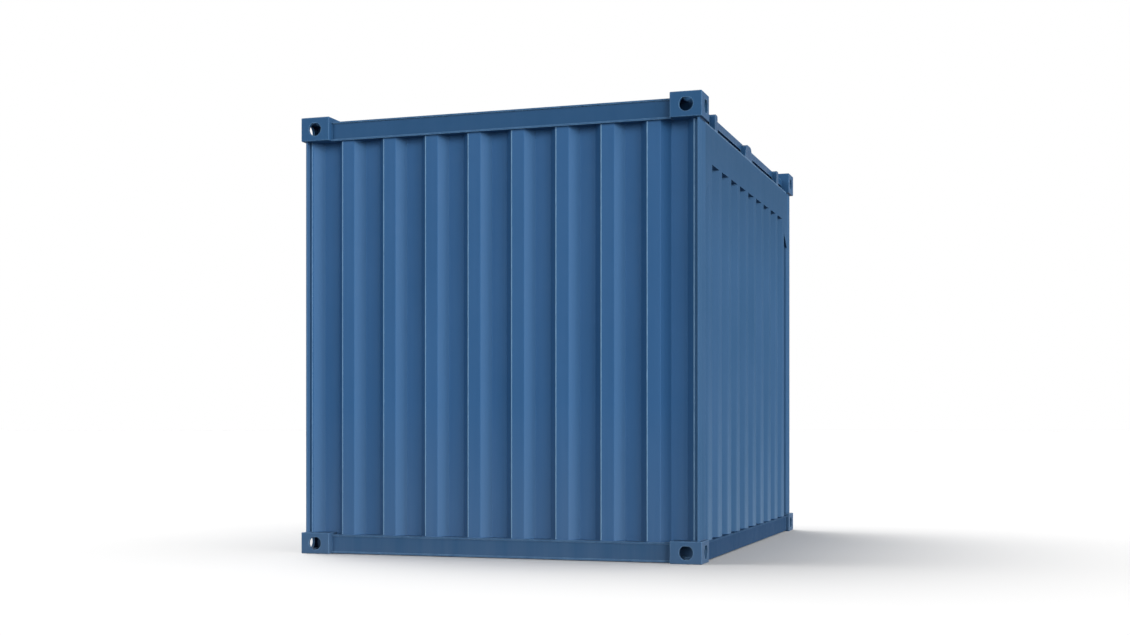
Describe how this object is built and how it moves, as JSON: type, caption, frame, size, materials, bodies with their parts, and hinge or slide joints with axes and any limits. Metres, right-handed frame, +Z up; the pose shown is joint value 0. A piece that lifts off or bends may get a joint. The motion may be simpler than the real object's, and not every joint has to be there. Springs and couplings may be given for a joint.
{
  "type": "10 ft offshore container",
  "caption": "Closed steel offshore container with corrugated walls, hollow corner castings, channel rails and a pair of closed doors on the far end.",
  "frame": {"origin": "on the ground under the middle of the container", "axes": "+X along the length from the closed end to the doors, +Y to the left as seen facing the closed end, +Z up"},
  "size_m": [2.991, 2.438, 2.591],
  "materials": {
    "blue_paint": "satin",
    "casting_paint": "satin",
    "underframe_paint": "matt",
    "floor_wood": "matt",
    "gasket_rubber": "matt",
    "lock_steel": "satin"
  },
  "bodies": {
    "root": {"front_right_post": "blue_paint", "front_left_post": "blue_paint", "rear_right_post": "blue_paint", "rear_left_post": "blue_paint", "front_top_rail": "blue_paint", "front_bottom_rail": "blue_paint", "rear_header": "blue_paint", "rear_sill": "blue_paint", "front_wall": "blue_paint", "right_wall": "blue_paint", "left_wall": "blue_paint", "right_top_rail": "blue_paint", "left_top_rail": "blue_paint", "right_bottom_rail": "blue_paint", "left_bottom_rail": "blue_paint", "right_rail_brackets": "blue_paint", "left_rail_brackets": "blue_paint", "roof": "blue_paint", "roof_end_plates": "blue_paint", "right_door": "blue_paint", "left_door": "blue_paint", "front_right_top_casting": "casting_paint", "front_right_bottom_casting": "casting_paint", "front_left_top_casting": "casting_paint", "front_left_bottom_casting": "casting_paint", "rear_right_top_casting": "casting_paint", "rear_right_bottom_casting": "casting_paint", "rear_left_top_casting": "casting_paint", "rear_left_bottom_casting": "casting_paint", "cross_members": "underframe_paint", "floor_boards": "floor_wood", "right_door_gasket": "gasket_rubber", "left_door_gasket": "gasket_rubber", "locking_bars": "lock_steel", "bar_guides": "lock_steel", "bar_keepers": "lock_steel", "lock_handles": "lock_steel", "handle_catches": "lock_steel", "right_hinges": "lock_steel", "left_hinges": "lock_steel", "right_hinge_lugs": "lock_steel", "left_hinge_lugs": "lock_steel"}
  },
  "joints": []
}
